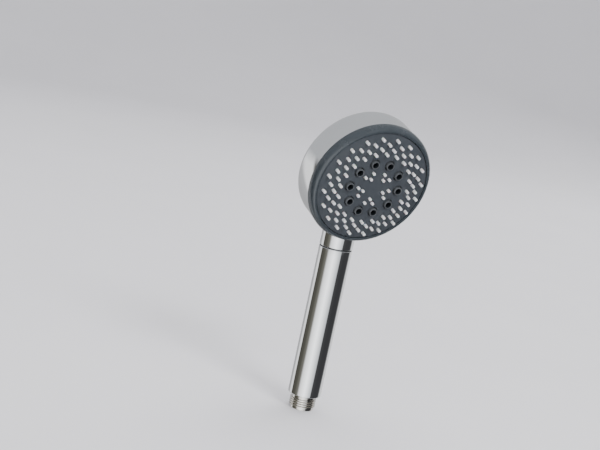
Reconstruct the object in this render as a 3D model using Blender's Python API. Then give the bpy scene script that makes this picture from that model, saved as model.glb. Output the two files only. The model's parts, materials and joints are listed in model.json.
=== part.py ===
"""Handheld shower head with a turning spray face of three spray patterns.

The frame has its origin at the free end of the inlet spigot, +Z up the handle
and -Y towards the front. The head leans: its spray axis points forwards and
down. Pieces of the head are turned about the spray axis, in a frame of their
own whose +Z is the way the water leaves and whose z = 0 is the widest circle
of the bezel. Lengths are in metres, written as millimetres times MM.
"""
from math import cos, pi, radians, sin, tan

import bmesh
import bpy
from mathutils import Matrix, Vector

MM = 0.001

# Clearances
GAP = 0.3 * MM            # between pieces that touch
RUNNING = 0.5 * MM        # between pieces that turn past each other
OVERSHOOT = 1.0 * MM      # how far a tool shape runs past a surface
TOOL_REACH = 20.0 * MM    # how far a cutting shape clears the front of the head

# Inlet spigot, with a half-inch pipe thread
SPIGOT_LENGTH = 12.0 * MM
THREAD_RADIUS = 10.48 * MM
THREAD_DEPTH = 1.16 * MM
THREAD_PITCH = 1.814 * MM
THREAD_START = 0.8 * MM
THREAD_CREST = (0.40, 0.55)       # shares of the pitch
INLET_RADIUS = 6.5 * MM
FLANGE_LENGTH = 2.7 * MM
SOCKET_LENGTH = 13.0 * MM
SOCKET_WALL = 1.2 * MM
FILTER_Z = 1.4 * MM
FILTER_THICKNESS = 1.2 * MM
FILTER_DISH = 1.6 * MM
FILTER_HOLES = 8
FILTER_HOLE_RADIUS = 0.9 * MM
FILTER_HOLE_RING = 3.2 * MM
LIMITER_Z = 6.0 * MM
LIMITER_LENGTH = 4.0 * MM
LIMITER_ORIFICE = 2.0 * MM

# Handle
HANDLE_RADIUS = 13.1 * MM
HANDLE_WALL = 1.0 * MM
HANDLE_LENGTH = 121.5 * MM
HANDLE_LIP = 2.0 * MM
HANDLE_CHAMFER = 0.8 * MM
SEAM_WIDTH = 1.0 * MM
TAIL_LENGTH = 8.0 * MM
TAIL_WALL = 1.7 * MM

# Water tube, forward of the handle's axis so that it meets the inlet chamber
TUBE_RADIUS = 4.5 * MM
TUBE_WALL = 1.5 * MM
TUBE_SET_FORWARD = 3.0 * MM
COUPLER_LENGTH = 14.0 * MM
COUPLER_WALL = 2.4 * MM
COUPLER_DROP = 2.0 * MM     # below the neck's tail
RING_SECTION = 1.2 * MM   # thickness of each O-ring
RING_WIDTH = 1.8 * MM

# Head and drum
HEAD_LEAN = radians(18.0)     # spray axis below the horizontal
FACE_RADIUS = 50.0 * MM
NECK_SHOWING = 14.0 * MM      # neck between the bezel and the seam
NECK_EXIT_DEPTH = 13.3 * MM   # handle axis behind the bezel, at its rim
DRUM_FRONT = -1.8 * MM
DRUM_EDGE_DEPTH = 25.5 * MM
DRUM_BACK_DEPTH = 29.0 * MM
DRUM_EDGE_RADIUS = 5.0 * MM
DRUM_STEP = 0.4 * MM          # drum inside the bezel's outline
DRUM_WALL = 2.0 * MM
GLIDE_DROP = 1.0 * MM         # glide ring behind the spray body's rim

# Bezel and face plate
BEZEL_WIDTH = 4.4 * MM
BEZEL_RISE = 5.6 * MM
BEZEL_BACK = -1.5 * MM
BEZEL_FLAT = 0.4 * MM         # flat crest inside the rounding
PLATE_RIM_RISE = 4.8 * MM
PLATE_RISE = 7.2 * MM
PLATE_BACK = 3.2 * MM

# Spray nozzles
RING_COUNT = 4
NOZZLES_PER_RING = 20
NOZZLE_EDGE_DISTANCE = 9.2 * MM   # outermost ring inside the bezel's outline
NOZZLE_RING_SPACING = 3.83 * MM
NOZZLE_ROOT_RADIUS = 1.25 * MM
NOZZLE_TIP_RADIUS = 1.05 * MM
NOZZLE_PROUD = 3.4 * MM
MAT_THICKNESS = 1.3 * MM
MAT_EDGE = 0.4 * MM           # outer mat inside the plate's rim
MAT_HUB_ROOM = 0.9 * MM       # inner mat outside the hub
JET_COUNT = 10
JET_RING_RADIUS = 21.0 * MM
JET_RADIUS = 3.2 * MM
JET_BORE_RADIUS = 2.3 * MM
JET_FLANGE_RADIUS = 4.9 * MM
JET_WELL_ROOM = 0.8 * MM     # well round each jet
JET_PROUD = 1.9 * MM
JET_SOFT = 0.4 * MM
TRIPLET_COUNT = 5
TRIPLET_INNER_RADIUS = 9.2 * MM
TRIPLET_OUTER_RADIUS = 13.3 * MM
TRIPLET_SPREAD = radians(14.8)
TRIPLET_PROUD = 2.0 * MM
PATTERN_TURN = radians(-69.6)     # direction of the first jet

# Spray body and its chambers
CHAMBER_WALL = 1.5 * MM
CHAMBER_FLOOR = 1.4 * MM
CHAMBER_DEPTH = 2.9 * MM
RIM_CHAMBER_DEPTH = 1.3 * MM
RIM_CHAMBER_FLOOR = 1.2 * MM
RIM_WALL = 1.9 * MM
JET_CHAMBER_HALF = 3.9 * MM     # half the width of the jets' ring chamber
HUB_RADIUS = 6.0 * MM
HUB_RECESS = 1.9 * MM
PORT_RADIUS = 2.4 * MM
PORT_MARGIN = 1.7 * MM      # innermost port outside the hub's wall
PORT_STEP = radians(40)
PORT_TURN = radians(150)

# Inlet chamber, port plate and their fastening
CHAMBER_INSET = 13.5 * MM      # chamber inside the bezel's outline
PORT_PLATE_THICKNESS = 3.2 * MM
INLET_CHAMBER_DEPTH = 13.6 * MM
INLET_CHAMBER_WALL = 2.0 * MM
INLET_CHAMBER_FLOOR = 1.8 * MM
FASTENER_INSET = 6.5 * MM
SCREW_COUNT = 3
SCREW_RADIUS = 1.5 * MM
SCREW_HEAD_RADIUS = 2.8 * MM
SCREW_HEAD_HEIGHT = 1.4 * MM
SCREW_BITE = 0.9 * MM          # screw ends past the drum's back edge
BOSS_WALL = 1.8 * MM
BOSS_ROOT = 1.2 * MM           # bosses run into the drum's back wall
STUB_REACH = 3.0 * MM          # inlet stub runs into the chamber
SEAT_WIDTH = 2.4 * MM
SEAL_HEIGHT = 1.6 * MM

# Pivot of the spray face
PIVOT_RADIUS = 1.9 * MM
PIVOT_HEAD_RADIUS = 4.8 * MM
PIVOT_HEAD_HEIGHT = 1.8 * MM
PIVOT_DEPTH = 5.0 * MM         # boss behind the port plate
PIVOT_FLOOR = 1.0 * MM
PIVOT_BOSS_WALL = 2.4 * MM
BUSH_WALL = 1.6 * MM
WASHER_THICKNESS = 0.6 * MM

# Detent and end stops
DETENT_TURN = radians(30)
DETENT_INSET = 2.0 * MM        # detent inside the fasteners' ring
POCKET_FLOOR = 1.0 * MM
PIN_RADIUS = 2.2 * MM
PIN_LENGTH = 4.4 * MM
NOSE_RADIUS = 1.3 * MM
SPRING_LENGTH = 3.4 * MM
SPRING_WIRE = 0.25 * MM
SPRING_TURNS = 3
LUG_WIDTH = 5.0 * MM
LUG_DEPTH = 3.6 * MM
LUG_OVERLAP = 0.4 * MM         # lug runs into the spray body
LUG_CLEARANCE = 2.0 * MM       # lug and stops outside the inlet chamber
LUG_INSET = 1.0 * MM           # lug inside the spray body's rim
STOP_WIDTH = 3.0 * MM
STOP_DROP = 1.2 * MM           # stops behind the spray body's rim

# Massage rotor
ROTOR_THICKNESS = 0.8 * MM
VANE_COUNT = 8
VANE_HEIGHT = 1.1 * MM
VANE_WIDTH = 0.8 * MM
VANE_INSET = 1.0 * MM
ROTOR_HOLE_RADIUS = 1.4 * MM

# Worked out from the sizes above
SEAM_Z = SPIGOT_LENGTH + HANDLE_LENGTH
CROSSING_DEPTH = NECK_EXIT_DEPTH + FACE_RADIUS * tan(HEAD_LEAN)
NECK_LENGTH = FACE_RADIUS / cos(HEAD_LEAN) + NECK_SHOWING
CROSSING_Z = SEAM_Z + NECK_LENGTH
NECK_BALL_Z = SEAM_Z + NECK_SHOWING     # middle of the neck's rounded end
SPRAY_AXIS = Vector((0, -cos(HEAD_LEAN), -sin(HEAD_LEAN)))
FACE_CENTRE = Vector((0, 0, CROSSING_Z)) + CROSSING_DEPTH * SPRAY_AXIS
HANDLE_BORE = HANDLE_RADIUS - HANDLE_WALL
TUBE_BORE = TUBE_RADIUS - TUBE_WALL
TAIL_RADIUS = HANDLE_BORE - GAP
TAIL_BORE = TAIL_RADIUS - TAIL_WALL
COUPLER_MIDDLE = SEAM_Z - TAIL_LENGTH - COUPLER_DROP - COUPLER_LENGTH / 2
SPIGOT_TOP = SPIGOT_LENGTH + HANDLE_LIP + GAP + FLANGE_LENGTH + SOCKET_LENGTH
DRUM_RADIUS = FACE_RADIUS - DRUM_STEP
PLATE_RADIUS = FACE_RADIUS - BEZEL_WIDTH - GAP
JET_WELL_RADIUS = JET_RADIUS + JET_WELL_ROOM
MAT_TOP = PLATE_BACK - GAP
MAT_BACK = MAT_TOP - MAT_THICKNESS
BODY_TOP = MAT_BACK - GAP
BODY_FLOOR = BODY_TOP - CHAMBER_DEPTH
BODY_BACK = BODY_FLOOR - CHAMBER_FLOOR
RIM_FLOOR = BODY_TOP - RIM_CHAMBER_DEPTH
RIM_BACK = RIM_FLOOR - RIM_CHAMBER_FLOOR
CHAMBER_RADIUS = FACE_RADIUS - CHAMBER_INSET
FASTENER_RING = CHAMBER_RADIUS - FASTENER_INSET
DETENT_RING = FASTENER_RING - DETENT_INSET
PORT_PLATE_FRONT = BODY_BACK - 2 * GAP
PORT_PLATE_BACK = PORT_PLATE_FRONT - PORT_PLATE_THICKNESS
CUP_FRONT = PORT_PLATE_BACK - GAP
PIVOT_END = PORT_PLATE_BACK - PIVOT_DEPTH
CUP_BACK = CUP_FRONT - INLET_CHAMBER_DEPTH
CUP_FLOOR = CUP_BACK + INLET_CHAMBER_FLOOR
JET_CHAMBER_INNER = JET_RING_RADIUS - JET_CHAMBER_HALF
JET_CHAMBER_OUTER = JET_RING_RADIUS + JET_CHAMBER_HALF
NOZZLE_RINGS = [FACE_RADIUS - NOZZLE_EDGE_DISTANCE - i * NOZZLE_RING_SPACING for i in range(RING_COUNT)]
MAT_INNER_RADIUS = JET_RING_RADIUS + JET_FLANGE_RADIUS + RUNNING
FLAT_RADIUS = MAT_INNER_RADIUS + 2 * GAP
PORT_RINGS = (FASTENER_RING, JET_RING_RADIUS, HUB_RADIUS + CHAMBER_WALL + PORT_RADIUS + PORT_MARGIN)

FACE_STEPS = 40      # facets of the face's parts: none of their edges meets a nozzle
ROUND_STEPS = 40
CHAMBER_STEPS = 30
HANDLE_STEPS = 32
SMALL_STEPS = 14


# ---------------------------------------------------------------- materials

def finish(name, colour, roughness, metallic=0.0):
    """Return the Principled material of that name."""
    material = bpy.data.materials.get(name) or bpy.data.materials.new(name)
    material.use_nodes = True
    shader = material.node_tree.nodes["Principled BSDF"]
    shader.inputs["Base Color"].default_value = (*colour, 1)
    shader.inputs["Roughness"].default_value = roughness
    shader.inputs["Metallic"].default_value = metallic
    return material


def chrome():
    return finish("chrome", (0.80, 0.81, 0.82), 0.06, 1.0)


def slate():
    return finish("slate_plastic", (0.085, 0.105, 0.120), 0.38)


def silicone():
    return finish("silicone", (0.62, 0.63, 0.62), 0.55)


def jet_grey():
    return finish("jet_plastic", (0.13, 0.145, 0.155), 0.42)


def acetal():
    return finish("acetal", (0.80, 0.79, 0.74), 0.45)


def black_acetal():
    return finish("black_acetal", (0.03, 0.03, 0.033), 0.5)


def black_rubber():
    return finish("black_rubber", (0.02, 0.02, 0.022), 0.7)


def brass():
    return finish("brass", (0.72, 0.55, 0.28), 0.25, 1.0)


def steel():
    return finish("steel", (0.62, 0.62, 0.60), 0.3, 1.0)


# ---------------------------------------------------------------- shapes

def node(name, bm, material, parent):
    """Turn a bmesh into an object placed by its parent."""
    bmesh.ops.remove_doubles(bm, verts=bm.verts, dist=1e-7)
    bmesh.ops.recalc_face_normals(bm, faces=bm.faces)
    mesh = bpy.data.meshes.new(name)
    bm.to_mesh(mesh)
    bm.free()
    mesh.shade_smooth()
    mesh.set_sharp_from_angle(angle=radians(30))
    mesh.materials.append(material)
    piece = bpy.data.objects.new(name, mesh)
    bpy.context.scene.collection.objects.link(piece)
    piece.parent = parent
    return piece


def add_turned(bm, profile, steps, place=Matrix()):
    """Spin a closed outline of (radius, height) points about +Z."""
    verts = [bm.verts.new((radius, 0, height)) for radius, height in profile]
    edges = [bm.edges.new((verts[i - 1], verts[i])) for i in range(1, len(verts))]
    if profile[0][0] > 0 or profile[-1][0] > 0:
        edges.append(bm.edges.new((verts[-1], verts[0])))
    before = set(bm.verts) - set(verts)
    bmesh.ops.spin(bm, geom=verts + edges, cent=(0, 0, 0), axis=(0, 0, 1), dvec=(0, 0, 0),
                   angle=2 * pi, steps=steps, use_merge=True)
    made = [vert for vert in bm.verts if vert not in before]
    bmesh.ops.remove_doubles(bm, verts=made, dist=1e-7)
    made = [vert for vert in bm.verts if vert not in before]
    bmesh.ops.transform(bm, matrix=place, verts=made)


def turned(name, profile, material, parent, steps=ROUND_STEPS, turn=0.0):
    """A lathe-turned piece."""
    bm = bmesh.new()
    add_turned(bm, profile, steps, Matrix.Rotation(turn, 4, "Z"))
    return node(name, bm, material, parent)


def add_post(bm, radius, low, high, at=(0.0, 0.0), steps=SMALL_STEPS, tip_radius=None, turn=0.0):
    """Add an upright round or tapered post."""
    place = Matrix.Translation((at[0], at[1], (low + high) / 2)) @ Matrix.Rotation(turn, 4, "Z")
    bmesh.ops.create_cone(bm, cap_ends=True, segments=steps, radius1=radius,
                          radius2=radius if tip_radius is None else tip_radius,
                          depth=high - low, matrix=place)


def add_block(bm, size, centre, turn=0.0):
    """Add a box, turned about +Z round the frame's origin."""
    place = Matrix.Rotation(turn, 4, "Z") @ Matrix.Translation(centre) @ Matrix.Diagonal((*size, 1))
    bmesh.ops.create_cube(bm, size=1, matrix=place)


def add_stadium(bm, inner, outer, radius, low, high, turn, steps=6):
    """Add an upright post with a long round section, lying along a radius."""
    outline = []
    for centre, start in ((outer, -pi / 2), (inner, pi / 2)):
        for i in range(steps + 1):
            angle = start + pi * i / steps
            outline.append((centre + radius * cos(angle), radius * sin(angle), low))
    face = bm.faces.new([bm.verts.new(point) for point in outline])
    raised = bmesh.ops.extrude_face_region(bm, geom=[face])["geom"]
    tops = [part for part in raised if isinstance(part, bmesh.types.BMVert)]
    bmesh.ops.translate(bm, vec=(0, 0, high - low), verts=tops)
    bmesh.ops.rotate(bm, cent=(0, 0, 0), matrix=Matrix.Rotation(turn, 3, "Z"),
                     verts=list(face.verts) + tops)


def polar(radius, angle):
    """Point on a circle round the frame's axis."""
    return radius * cos(angle), radius * sin(angle)


def shape(piece, operation, bm, parent):
    """Join a tool shape to a piece, or cut it away, with a Boolean modifier."""
    tool = node(f"tool_{len(bpy.data.objects)}", bm, piece.active_material, parent)
    tool.hide_render = True
    tool.display_type = "WIRE"
    tool.hide_set(True)
    modifier = piece.modifiers.new(operation.title(), "BOOLEAN")
    modifier.operation = operation
    modifier.object = tool


def cut(piece, bm, parent):
    shape(piece, "DIFFERENCE", bm, parent)


def join(piece, bm, parent):
    shape(piece, "UNION", bm, parent)


def o_ring(name, inner, middle, material, parent, width=RING_WIDTH, section=RING_SECTION, steps=SMALL_STEPS):
    """A ring of rounded section, centred on the height `middle`."""
    soft = min(section, width) * 0.3
    low, high, outer = middle - width / 2, middle + width / 2, inner + section
    profile = [(inner, low + soft), (inner + soft, low), (outer, middle), (inner + soft, high),
               (inner, high - soft)]
    return turned(name, profile, material, parent, steps)


# ---------------------------------------------------------------- handle

def handle_shell(handle):
    """Drawn tube with an inward lip that the spigot's flange rests on."""
    low, high = SPIGOT_LENGTH, SEAM_Z - SEAM_WIDTH / 2
    lip = THREAD_RADIUS + GAP
    profile = [(lip, low), (HANDLE_RADIUS - HANDLE_CHAMFER, low), (HANDLE_RADIUS, low + HANDLE_CHAMFER),
               (HANDLE_RADIUS, high - GAP), (HANDLE_RADIUS - GAP, high), (HANDLE_BORE, high),
               (HANDLE_BORE, low + HANDLE_LIP), (lip, low + HANDLE_LIP)]
    turned("handle_shell", profile, chrome(), handle, HANDLE_STEPS)


def inlet_spigot(handle, tube):
    """Threaded inlet whose flange and off-centre tube socket lie in the handle."""
    minor = THREAD_RADIUS - THREAD_DEPTH
    flange_low = SPIGOT_LENGTH + HANDLE_LIP + GAP
    flange_high = flange_low + FLANGE_LENGTH
    socket = TUBE_SET_FORWARD + TUBE_RADIUS + GAP + RING_SECTION + SOCKET_WALL
    outline = [(0, flange_low), (INLET_RADIUS, flange_low), (INLET_RADIUS, 0), (minor, 0)]
    ridges = int((SPIGOT_LENGTH - THREAD_START) / THREAD_PITCH)
    for i in range(ridges):
        start = THREAD_START + i * THREAD_PITCH
        outline.append((minor, start))
        outline += [(THREAD_RADIUS, start + share * THREAD_PITCH) for share in THREAD_CREST]
    outline += [(minor, THREAD_START + ridges * THREAD_PITCH), (minor, flange_low),
                (HANDLE_BORE - GAP, flange_low), (HANDLE_BORE - GAP, flange_high),
                (socket, flange_high), (socket, SPIGOT_TOP), (0, SPIGOT_TOP)]
    spigot = turned("inlet_spigot", outline, brass(), handle, 20)
    bm = bmesh.new()
    add_post(bm, TUBE_RADIUS + GAP, flange_high + GAP, SPIGOT_TOP + OVERSHOOT, steps=24)
    cut(spigot, bm, tube)
    bm = bmesh.new()
    add_post(bm, TUBE_BORE, flange_low - OVERSHOOT, flange_high + OVERSHOOT, steps=24)
    cut(spigot, bm, tube)
    middle = SPIGOT_TOP - SOCKET_LENGTH / 3
    bm = bmesh.new()
    add_post(bm, TUBE_RADIUS + GAP + RING_SECTION + GAP, middle - RING_WIDTH / 2 - GAP,
             middle + RING_WIDTH / 2 + GAP, steps=24)
    cut(spigot, bm, tube)
    o_ring("spigot_tube_o_ring", TUBE_RADIUS + GAP, middle, black_rubber(), tube)
    seal_inner = socket + GAP
    o_ring("spigot_o_ring", seal_inner, flange_high + GAP + RING_WIDTH / 2, black_rubber(), handle,
           section=HANDLE_BORE - GAP - seal_inner)


def inlet_fittings(handle):
    """Dished filter screen and flow limiter in the inlet bore."""
    rim = INLET_RADIUS - GAP
    inner, low = rim - FILTER_THICKNESS, FILTER_Z
    high = low + FILTER_THICKNESS
    profile = [(0, low + FILTER_DISH), (inner, low), (rim, low), (rim, high), (inner, high),
               (0, high + FILTER_DISH)]
    screen = turned("inlet_filter", profile, steel(), handle, SMALL_STEPS)
    bm = bmesh.new()
    for i in range(FILTER_HOLES):
        add_post(bm, FILTER_HOLE_RADIUS, 0, high + FILTER_DISH + OVERSHOOT,
                 polar(FILTER_HOLE_RING, 2 * pi * (i + 0.5) / FILTER_HOLES), steps=6)
    cut(screen, bm, handle)
    low, high = LIMITER_Z, LIMITER_Z + LIMITER_LENGTH
    profile = [(LIMITER_ORIFICE, low), (rim, low), (rim, high), (2 * LIMITER_ORIFICE, high),
               (LIMITER_ORIFICE, (low + high) / 2)]
    turned("flow_limiter", profile, acetal(), handle, SMALL_STEPS)


def water_way(tube):
    """Tube up the handle, with the coupler that joins it to the inlet chamber."""
    low = SPIGOT_TOP - SOCKET_LENGTH + 2 * GAP
    profile = [(TUBE_BORE, low), (TUBE_RADIUS, low), (TUBE_RADIUS, COUPLER_MIDDLE - GAP),
               (TUBE_BORE, COUPLER_MIDDLE - GAP)]
    turned("water_tube", profile, acetal(), tube, SMALL_STEPS)
    inner, groove = TUBE_RADIUS + GAP, TUBE_RADIUS + RING_SECTION + 2 * GAP
    half = COUPLER_LENGTH / 2
    outline = [(inner, COUPLER_MIDDLE - half), (inner + COUPLER_WALL, COUPLER_MIDDLE - half),
               (inner + COUPLER_WALL, COUPLER_MIDDLE + half), (inner, COUPLER_MIDDLE + half)]
    for middle in (COUPLER_MIDDLE + half / 2, COUPLER_MIDDLE - half / 2):
        reach = RING_WIDTH / 2 + GAP
        outline += [(inner, middle + reach), (groove, middle + reach),
                    (groove, middle - reach), (inner, middle - reach)]
    turned("tube_coupler", outline, acetal(), tube, SMALL_STEPS)
    o_ring("coupler_o_ring_upper", inner, COUPLER_MIDDLE + half / 2, black_rubber(), tube)
    o_ring("coupler_o_ring_lower", inner, COUPLER_MIDDLE - half / 2, black_rubber(), tube)


def seam_gasket(handle):
    """Thin gasket between the handle and the neck."""
    inner, half = TAIL_RADIUS + GAP, SEAM_WIDTH / 2 - GAP
    profile = [(inner, SEAM_Z - half), (HANDLE_RADIUS - GAP, SEAM_Z - half),
               (HANDLE_RADIUS - GAP, SEAM_Z + half), (inner, SEAM_Z + half)]
    turned("seam_gasket", profile, black_rubber(), handle, HANDLE_STEPS)


# ---------------------------------------------------------------- head

def drum_outline(inset):
    """Side, rounded edge and domed back of the drum, moved inwards by `inset`."""
    turn_in = DRUM_RADIUS - DRUM_EDGE_RADIUS
    turn_down = DRUM_EDGE_DEPTH - DRUM_EDGE_RADIUS
    edge = DRUM_EDGE_RADIUS - inset
    points = []
    for i in range(7):
        angle = radians(15 * i)
        points.append((turn_in + edge * cos(angle), -turn_down - edge * sin(angle)))
    for share in (0.6, 0):
        dome = (DRUM_BACK_DEPTH - DRUM_EDGE_DEPTH) * share ** 2
        points.append((turn_in * share, -DRUM_BACK_DEPTH + inset + dome))
    return points


def head_shell(handle, tube, spray):
    """Drum and neck in one casting, with a tail that plugs into the handle."""
    drum = turned("head_shell", [(0, DRUM_FRONT), (DRUM_RADIUS, DRUM_FRONT)] + drum_outline(0),
                  chrome(), spray)
    shoulder, tail_low = SEAM_Z + SEAM_WIDTH / 2, SEAM_Z - TAIL_LENGTH
    ball = [(HANDLE_RADIUS * cos(radians(a)), NECK_BALL_Z + HANDLE_RADIUS * sin(radians(a)))
            for a in range(0, 90, 15)] + [(0, NECK_BALL_Z + HANDLE_RADIUS)]
    bm = bmesh.new()
    add_turned(bm, [(0, tail_low), (TAIL_RADIUS, tail_low), (TAIL_RADIUS, shoulder),
                    (HANDLE_RADIUS - GAP, shoulder), (HANDLE_RADIUS, shoulder + GAP)] + ball, HANDLE_STEPS)
    join(drum, bm, handle)
    bm = bmesh.new()
    cavity = DRUM_RADIUS - DRUM_WALL
    add_turned(bm, [(0, TOOL_REACH), (cavity, TOOL_REACH)] + drum_outline(DRUM_WALL), ROUND_STEPS)
    cut(drum, bm, spray)
    bezel_room = FACE_RADIUS + RUNNING
    bm = bmesh.new()
    add_post(bm, bezel_room, DRUM_FRONT, TOOL_REACH, steps=ROUND_STEPS)
    cut(drum, bm, spray)
    wide_end = CROSSING_Z - (bezel_room + TAIL_WALL + sin(HEAD_LEAN) * TAIL_BORE) / cos(HEAD_LEAN)
    bm = bmesh.new()
    add_post(bm, TAIL_BORE, tail_low - OVERSHOOT, wide_end, steps=24)
    cut(drum, bm, handle)
    bm = bmesh.new()
    add_post(bm, TUBE_RADIUS + 2 * GAP, wide_end - OVERSHOOT, NECK_BALL_Z + TAIL_LENGTH, steps=24)
    cut(drum, bm, tube)
    add_stops_and_bosses(drum, spray)


def screw_places():
    """Places of the screws that hold the port plate and the inlet chamber."""
    return [polar(FASTENER_RING, radians(90) + 2 * pi * i / SCREW_COUNT) for i in range(SCREW_COUNT)]


def add_stops_and_bosses(drum, spray):
    """End stops for the spray face, and screw bosses on the drum's back wall."""
    boss_front = CUP_BACK - GAP
    back_wall = -DRUM_EDGE_DEPTH
    stop_reach = (LUG_WIDTH + STOP_WIDTH) / 2 + RUNNING
    lug_ring = (CHAMBER_RADIUS + DRUM_RADIUS - DRUM_WALL) / 2
    stop_turn = PORT_STEP + stop_reach / lug_ring
    outer = DRUM_RADIUS - DRUM_WALL / 2
    inner = CHAMBER_RADIUS + LUG_CLEARANCE
    low, high = -(DRUM_EDGE_DEPTH - DRUM_EDGE_RADIUS), RIM_BACK - STOP_DROP
    bm = bmesh.new()
    for side in (-1, 1):
        add_block(bm, (outer - inner, STOP_WIDTH, high - low),
                  ((outer + inner) / 2, 0, (low + high) / 2), radians(90) + side * stop_turn)
    for place in screw_places():
        add_post(bm, SCREW_RADIUS + BOSS_WALL, back_wall - BOSS_ROOT, boss_front, place)
    join(drum, bm, spray)
    bm = bmesh.new()
    for place in screw_places():
        add_post(bm, SCREW_RADIUS + GAP, back_wall - SCREW_BITE, boss_front + OVERSHOOT, place)
    cut(drum, bm, spray)


def inlet_chamber(tube, spray):
    """Cup behind the port plate, with the stub that the water comes in by."""
    inside = CHAMBER_RADIUS - INLET_CHAMBER_WALL
    cup = turned("inlet_chamber", [(0, CUP_FLOOR), (inside, CUP_FLOOR), (inside, CUP_FRONT),
                                   (CHAMBER_RADIUS, CUP_FRONT), (CHAMBER_RADIUS, CUP_BACK), (0, CUP_BACK)],
                 acetal(), spray, CHAMBER_STEPS)
    stub_low = COUPLER_MIDDLE + GAP
    stub_high = CROSSING_Z - (CHAMBER_RADIUS - STUB_REACH) / cos(HEAD_LEAN)
    bm = bmesh.new()
    add_post(bm, TUBE_RADIUS, stub_low, stub_high, steps=SMALL_STEPS)
    join(cup, bm, tube)
    bm = bmesh.new()
    for place in screw_places():
        add_post(bm, SCREW_RADIUS + BOSS_WALL, CUP_BACK, CUP_FRONT, place)
    join(cup, bm, spray)
    bm = bmesh.new()
    for place in screw_places():
        add_post(bm, SCREW_RADIUS + GAP, CUP_BACK - OVERSHOOT, CUP_FRONT + OVERSHOOT, place, steps=12)
    cut(cup, bm, spray)
    bm = bmesh.new()
    add_post(bm, TUBE_BORE, stub_low - OVERSHOOT, stub_high + 2 * OVERSHOOT, steps=12)
    cut(cup, bm, tube)


def port_plate(spray):
    """Fixed front of the inlet chamber, with one slot that feeds the spray face."""
    pilot = PIVOT_RADIUS + GAP
    boss = pilot + PIVOT_BOSS_WALL
    boss_floor = PIVOT_END + PIVOT_FLOOR
    step_radius, step_height = CHAMBER_RADIUS - RING_SECTION - GAP, PORT_PLATE_BACK + RING_WIDTH
    plate = turned("port_plate", [(0, boss_floor), (pilot, boss_floor), (pilot, PORT_PLATE_FRONT),
                                  (CHAMBER_RADIUS, PORT_PLATE_FRONT), (CHAMBER_RADIUS, step_height),
                                  (step_radius, step_height), (step_radius, PORT_PLATE_BACK),
                                  (boss, PORT_PLATE_BACK), (boss, PIVOT_END), (0, PIVOT_END)],
                   acetal(), spray, CHAMBER_STEPS)
    pocket = PIN_RADIUS + GAP
    pocket_floor = detent_pin_back() - 2 * GAP - SPRING_LENGTH
    at = polar(DETENT_RING, DETENT_TURN)
    bm = bmesh.new()
    add_post(bm, pocket + BOSS_WALL, pocket_floor - POCKET_FLOOR, PORT_PLATE_BACK + OVERSHOOT, at)
    join(plate, bm, spray)
    head_floor = PORT_PLATE_FRONT - SCREW_HEAD_HEIGHT - 2 * GAP
    bm = bmesh.new()
    add_post(bm, pocket, pocket_floor, PORT_PLATE_FRONT + OVERSHOOT, at)
    for place in screw_places():
        add_post(bm, SCREW_HEAD_RADIUS + GAP, head_floor, PORT_PLATE_FRONT + OVERSHOOT, place)
    add_stadium(bm, PORT_RINGS[2], PORT_RINGS[0], PORT_RADIUS + SEAT_WIDTH,
                PORT_PLATE_FRONT - SEAL_HEIGHT, PORT_PLATE_FRONT + OVERSHOOT, PORT_TURN)
    cut(plate, bm, spray)
    bm = bmesh.new()
    for place in screw_places():
        add_post(bm, SCREW_RADIUS + GAP, PORT_PLATE_BACK - OVERSHOOT, PORT_PLATE_FRONT + OVERSHOOT, place, steps=12)
    add_stadium(bm, PORT_RINGS[2], PORT_RINGS[0], PORT_RADIUS, PORT_PLATE_BACK - OVERSHOOT,
                PORT_PLATE_FRONT + OVERSHOOT, PORT_TURN)
    cut(plate, bm, spray)


def port_seal(spray):
    """Long rubber seal round the slot, pressed on the spray body's back."""
    low, high = PORT_PLATE_FRONT - SEAL_HEIGHT + GAP, BODY_BACK - GAP
    bm = bmesh.new()
    add_stadium(bm, PORT_RINGS[2], PORT_RINGS[0], PORT_RADIUS + SEAT_WIDTH - GAP, low, high, PORT_TURN)
    seal = node("port_seal", bm, black_rubber(), spray)
    bm = bmesh.new()
    add_stadium(bm, PORT_RINGS[2], PORT_RINGS[0], PORT_RADIUS + GAP, low - OVERSHOOT, high + OVERSHOOT, PORT_TURN)
    cut(seal, bm, spray)


def chamber_screws(spray):
    """Screws through the port plate and the cup into the drum's bosses."""
    top = PORT_PLATE_FRONT - GAP
    under_head = top - SCREW_HEAD_HEIGHT
    point = -DRUM_EDGE_DEPTH - SCREW_BITE + GAP
    profile = [(0, point), (SCREW_RADIUS - GAP, point), (SCREW_RADIUS, point + 2 * GAP),
               (SCREW_RADIUS, under_head), (SCREW_HEAD_RADIUS, under_head), (SCREW_HEAD_RADIUS, top), (0, top)]
    for i, place in enumerate(screw_places(), 1):
        screw = turned(f"chamber_screw_{i}", profile, steel(), spray, 12)
        screw.location = (*place, 0)


def chamber_o_ring(spray):
    """Ring in the port plate's stepped edge, pressed on the cup's mouth."""
    width = RING_WIDTH - 2 * GAP
    o_ring("chamber_o_ring", CHAMBER_RADIUS - RING_SECTION, PORT_PLATE_BACK + GAP + width / 2,
           black_rubber(), spray, width=width, section=RING_SECTION - GAP, steps=CHAMBER_STEPS)


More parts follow.
